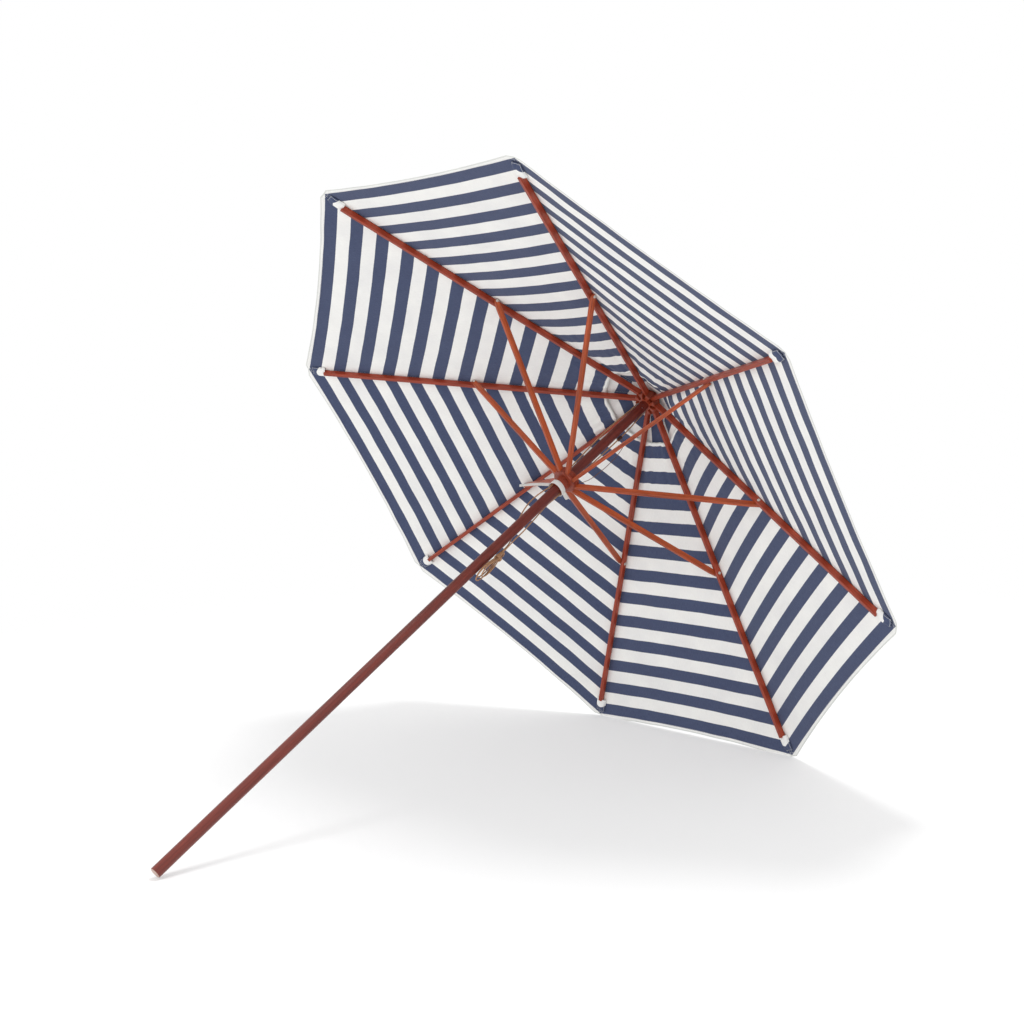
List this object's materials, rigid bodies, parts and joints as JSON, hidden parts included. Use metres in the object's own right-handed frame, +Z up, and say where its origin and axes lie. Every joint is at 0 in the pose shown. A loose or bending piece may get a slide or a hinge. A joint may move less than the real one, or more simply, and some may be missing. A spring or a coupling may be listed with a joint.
{
  "type": "garden parasol",
  "caption": "Octagonal striped fabric parasol on a round hardwood pole, with hinged ribs and struts, a sliding runner and a cord-and-sheave lift.",
  "frame": {"origin": "centre of the foot of the pole", "axes": "+Z up along the pole, +X towards rib 1"},
  "size_m": [2.7, 2.7, 2.6614],
  "materials": {
    "pole_wood": "oiled hardwood, satin",
    "hub_wood": "turned hardwood, satin varnish",
    "rib_wood": "stained hardwood, satin varnish",
    "strut_wood": "stained hardwood, satin varnish",
    "canopy_fabric": "woven polyester with navy and white stripes",
    "strap_fabric": "white webbing",
    "cord": "braided cord",
    "steel": "zinc-plated",
    "sheave_metal": "cast, satin",
    "stop_wood": "dark turned wood"
  },
  "bodies": {
    "pole": {"pole": "pole_wood", "crown_hub": "hub_wood", "crown_pins": "steel", "finial": "hub_wood", "sheave_axle": "steel", "halyard_falls": "cord", "rope_stop": "stop_wood"},
    "sheave": {"sheave": "sheave_metal"},
    "rib_1": {"rib_1": "rib_wood", "rib_bolt_1": "steel", "canopy_1": "canopy_fabric", "vent_cap_1": "canopy_fabric"},
    "rib_2": {"rib_2": "rib_wood", "rib_bolt_2": "steel", "canopy_2": "canopy_fabric", "vent_cap_2": "canopy_fabric"},
    "rib_3": {"rib_3": "rib_wood", "rib_bolt_3": "steel", "canopy_3": "canopy_fabric", "vent_cap_3": "canopy_fabric"},
    "rib_4": {"rib_4": "rib_wood", "rib_bolt_4": "steel", "canopy_4": "canopy_fabric", "vent_cap_4": "canopy_fabric"},
    "rib_5": {"rib_5": "rib_wood", "rib_bolt_5": "steel", "canopy_5": "canopy_fabric", "vent_cap_5": "canopy_fabric"},
    "rib_6": {"rib_6": "rib_wood", "rib_bolt_6": "steel", "canopy_6": "canopy_fabric", "vent_cap_6": "canopy_fabric"},
    "rib_7": {"rib_7": "rib_wood", "rib_bolt_7": "steel", "canopy_7": "canopy_fabric", "vent_cap_7": "canopy_fabric"},
    "rib_8": {"rib_8": "rib_wood", "rib_bolt_8": "steel", "canopy_8": "canopy_fabric", "vent_cap_8": "canopy_fabric"},
    "strut_1": {"strut_1": "strut_wood"},
    "strut_2": {"strut_2": "strut_wood"},
    "strut_3": {"strut_3": "strut_wood"},
    "strut_4": {"strut_4": "strut_wood"},
    "strut_5": {"strut_5": "strut_wood"},
    "strut_6": {"strut_6": "strut_wood"},
    "strut_7": {"strut_7": "strut_wood"},
    "strut_8": {"strut_8": "strut_wood"},
    "runner": {"runner_hub": "hub_wood", "runner_pins": "steel", "closing_strap": "strap_fabric", "halyard_in_runner": "cord", "halyard_lift_end": "cord", "halyard_hauling_end": "cord", "halyard_hank": "cord", "lanyard": "cord"}
  },
  "joints": [
    {"name": "canopy_fold", "type": "hinge", "parent": "pole", "child": "rib_1", "pos_m": [0.037, 0, 2.566], "axis": [0, 1, 0], "range_deg": [0, 63.5], "deforming": ["canopy_1", "vent_cap_1", "halyard_falls", "lanyard"]},
    {"name": "strut_1_hinge", "type": "hinge", "parent": "rib_1", "child": "strut_1", "pos_m": [0.67004, 0, 2.30378], "axis": [0, 1, 0], "range_deg": [-127, 0]},
    {"name": "rib_2_hinge", "type": "hinge", "parent": "pole", "child": "rib_2", "pos_m": [0.02616, 0.02616, 2.566], "axis": [-0.7071, 0.7071, 0], "range_deg": [0, 63.5], "deforming": ["canopy_2", "vent_cap_2"]},
    {"name": "strut_2_hinge", "type": "hinge", "parent": "rib_2", "child": "strut_2", "pos_m": [0.47379, 0.47379, 2.30378], "axis": [-0.7071, 0.7071, 0], "range_deg": [-127, 0]},
    {"name": "rib_3_hinge", "type": "hinge", "parent": "pole", "child": "rib_3", "pos_m": [0, 0.037, 2.566], "axis": [-1, 0, 0], "range_deg": [0, 63.5], "deforming": ["canopy_3", "vent_cap_3"]},
    {"name": "strut_3_hinge", "type": "hinge", "parent": "rib_3", "child": "strut_3", "pos_m": [0, 0.67004, 2.30378], "axis": [-1, 0, 0], "range_deg": [-127, 0]},
    {"name": "rib_4_hinge", "type": "hinge", "parent": "pole", "child": "rib_4", "pos_m": [-0.02616, 0.02616, 2.566], "axis": [-0.7071, -0.7071, 0], "range_deg": [0, 63.5], "deforming": ["canopy_4", "vent_cap_4"]},
    {"name": "strut_4_hinge", "type": "hinge", "parent": "rib_4", "child": "strut_4", "pos_m": [-0.47379, 0.47379, 2.30378], "axis": [-0.7071, -0.7071, 0], "range_deg": [-127, 0]},
    {"name": "rib_5_hinge", "type": "hinge", "parent": "pole", "child": "rib_5", "pos_m": [-0.037, 0, 2.566], "axis": [0, -1, 0], "range_deg": [0, 63.5], "deforming": ["canopy_5", "vent_cap_5"]},
    {"name": "strut_5_hinge", "type": "hinge", "parent": "rib_5", "child": "strut_5", "pos_m": [-0.67004, 0, 2.30378], "axis": [0, -1, 0], "range_deg": [-127, 0]},
    {"name": "rib_6_hinge", "type": "hinge", "parent": "pole", "child": "rib_6", "pos_m": [-0.02616, -0.02616, 2.566], "axis": [0.7071, -0.7071, 0], "range_deg": [0, 63.5], "deforming": ["canopy_6", "vent_cap_6"]},
    {"name": "strut_6_hinge", "type": "hinge", "parent": "rib_6", "child": "strut_6", "pos_m": [-0.47379, -0.47379, 2.30378], "axis": [0.7071, -0.7071, 0], "range_deg": [-127, 0]},
    {"name": "rib_7_hinge", "type": "hinge", "parent": "pole", "child": "rib_7", "pos_m": [0, -0.037, 2.566], "axis": [1, 0, 0], "range_deg": [0, 63.5], "deforming": ["canopy_7", "vent_cap_7"]},
    {"name": "strut_7_hinge", "type": "hinge", "parent": "rib_7", "child": "strut_7", "pos_m": [0, -0.67004, 2.30378], "axis": [1, 0, 0], "range_deg": [-127, 0]},
    {"name": "rib_8_hinge", "type": "hinge", "parent": "pole", "child": "rib_8", "pos_m": [0.02616, -0.02616, 2.566], "axis": [0.7071, 0.7071, 0], "range_deg": [0, 63.5], "deforming": ["canopy_8", "vent_cap_8"]},
    {"name": "strut_8_hinge", "type": "hinge", "parent": "rib_8", "child": "strut_8", "pos_m": [0.47379, -0.47379, 2.30378], "axis": [0.7071, 0.7071, 0], "range_deg": [-127, 0]},
    {"name": "runner_hinge", "type": "hinge", "parent": "strut_1", "child": "runner", "pos_m": [0.037, 0.0145, 2.04157], "axis": [0, 1, 0], "range_deg": [0, 63.5]},
    {"name": "sheave_spin", "type": "hinge", "parent": "pole", "child": "sheave", "pos_m": [0, 0, 2.51], "axis": [0, 1, 0], "continuous": true}
  ],
  "couplings": [
    {"joint": "strut_1_hinge", "follows": "canopy_fold", "ratio": -2},
    {"joint": "rib_2_hinge", "follows": "canopy_fold", "ratio": 1},
    {"joint": "strut_2_hinge", "follows": "canopy_fold", "ratio": -2},
    {"joint": "rib_3_hinge", "follows": "canopy_fold", "ratio": 1},
    {"joint": "strut_3_hinge", "follows": "canopy_fold", "ratio": -2},
    {"joint": "rib_4_hinge", "follows": "canopy_fold", "ratio": 1},
    {"joint": "strut_4_hinge", "follows": "canopy_fold", "ratio": -2},
    {"joint": "rib_5_hinge", "follows": "canopy_fold", "ratio": 1},
    {"joint": "strut_5_hinge", "follows": "canopy_fold", "ratio": -2},
    {"joint": "rib_6_hinge", "follows": "canopy_fold", "ratio": 1},
    {"joint": "strut_6_hinge", "follows": "canopy_fold", "ratio": -2},
    {"joint": "rib_7_hinge", "follows": "canopy_fold", "ratio": 1},
    {"joint": "strut_7_hinge", "follows": "canopy_fold", "ratio": -2},
    {"joint": "rib_8_hinge", "follows": "canopy_fold", "ratio": 1},
    {"joint": "strut_8_hinge", "follows": "canopy_fold", "ratio": -2},
    {"joint": "runner_hinge", "follows": "canopy_fold", "ratio": 1}
  ]
}
